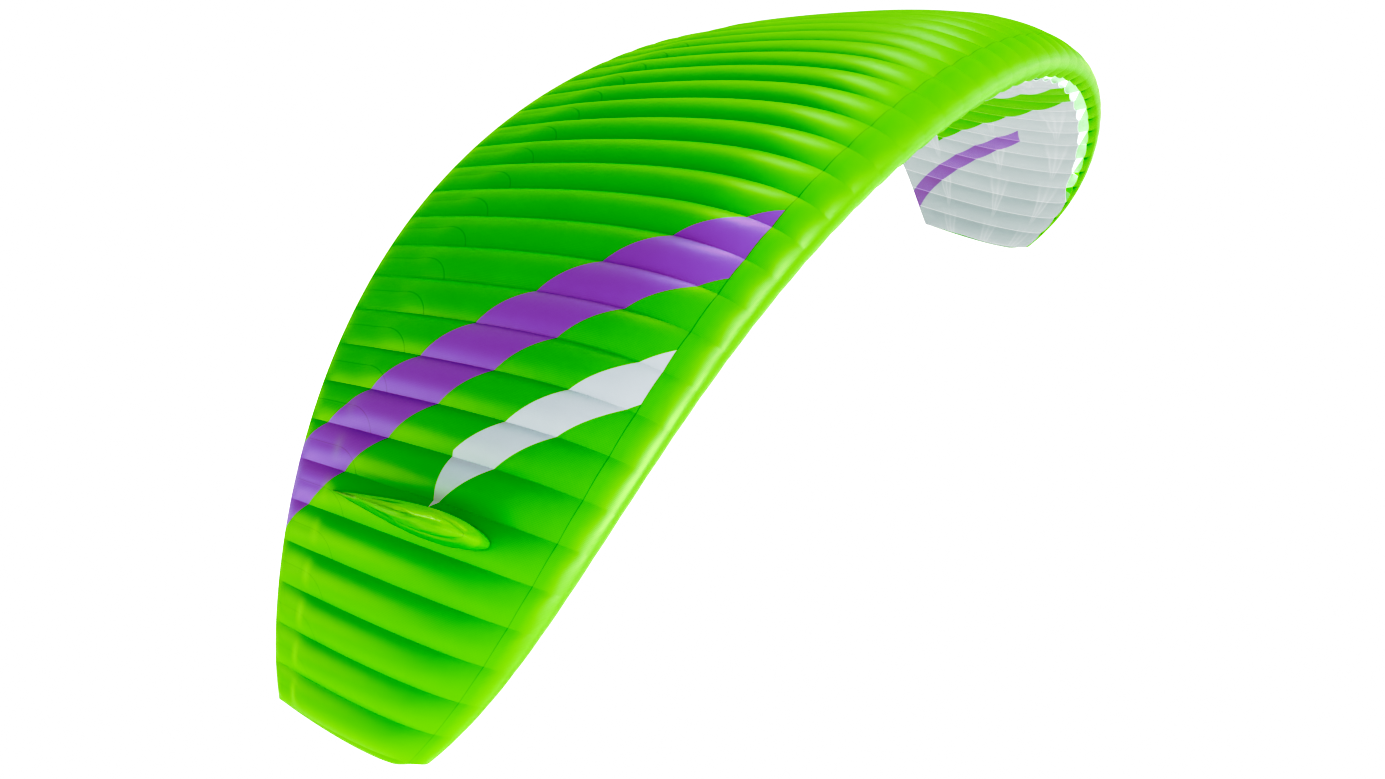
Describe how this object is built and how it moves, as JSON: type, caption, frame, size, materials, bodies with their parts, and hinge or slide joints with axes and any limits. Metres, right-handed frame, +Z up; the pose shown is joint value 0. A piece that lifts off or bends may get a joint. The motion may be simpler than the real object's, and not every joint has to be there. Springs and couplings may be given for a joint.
{
  "type": "paraglider wing",
  "caption": "Inflated ram-air paraglider wing: arched cloth cells between ribs, open intakes under the nose, tip panels and upright tip fins.",
  "frame": {"origin": "lowest point of the centre cell's underside at 30% of the chord, where the pull of the lines acts", "axes": "+X along the span to the left tip, +Y from the nose to the trailing edge, +Z up"},
  "size_m": [9.0984, 2.8552, 3.0376],
  "materials": {
    "upper_cloth": "smooth coated ripstop cloth",
    "nose_cloth": "smooth coated ripstop cloth",
    "under_cloth": "smooth coated ripstop cloth",
    "rib_cloth": "stiff coated cloth",
    "fin_cloth": "smooth coated ripstop cloth"
  },
  "bodies": {
    "root": {"upper_skin": "upper_cloth", "nose_top_middle": "nose_cloth", "nose_top_right": "nose_cloth", "nose_top_left": "nose_cloth", "nose_lip_middle": "nose_cloth", "nose_lip_right": "nose_cloth", "nose_lip_left": "nose_cloth", "lower_skin_middle": "under_cloth", "lower_skin_right": "under_cloth", "lower_skin_left": "under_cloth", "rib_01": "rib_cloth", "rib_02": "rib_cloth", "rib_03": "rib_cloth", "rib_04": "rib_cloth", "rib_05": "rib_cloth", "rib_06": "rib_cloth", "rib_07": "rib_cloth", "rib_08": "rib_cloth", "rib_09": "rib_cloth", "rib_10": "rib_cloth", "rib_11": "rib_cloth", "rib_12": "rib_cloth", "rib_13": "rib_cloth", "rib_14": "rib_cloth", "rib_15": "rib_cloth", "rib_16": "rib_cloth", "rib_17": "rib_cloth", "rib_18": "rib_cloth", "rib_19": "rib_cloth", "rib_20": "rib_cloth", "rib_21": "rib_cloth", "rib_22": "rib_cloth", "rib_23": "rib_cloth", "rib_24": "rib_cloth", "rib_25": "rib_cloth", "rib_26": "rib_cloth", "rib_27": "rib_cloth", "rib_28": "rib_cloth", "rib_29": "rib_cloth", "rib_30": "rib_cloth", "rib_31": "rib_cloth", "rib_32": "rib_cloth", "rib_33": "rib_cloth", "rib_34": "rib_cloth", "rib_35": "rib_cloth", "rib_36": "rib_cloth", "rib_37": "rib_cloth", "rib_38": "rib_cloth", "rib_39": "rib_cloth", "rib_40": "rib_cloth", "rib_41": "rib_cloth", "rib_42": "rib_cloth", "rib_43": "rib_cloth", "rib_44": "rib_cloth", "tip_right": "upper_cloth", "tip_left": "upper_cloth", "fin_right": "fin_cloth", "fin_left": "fin_cloth"}
  },
  "joints": []
}
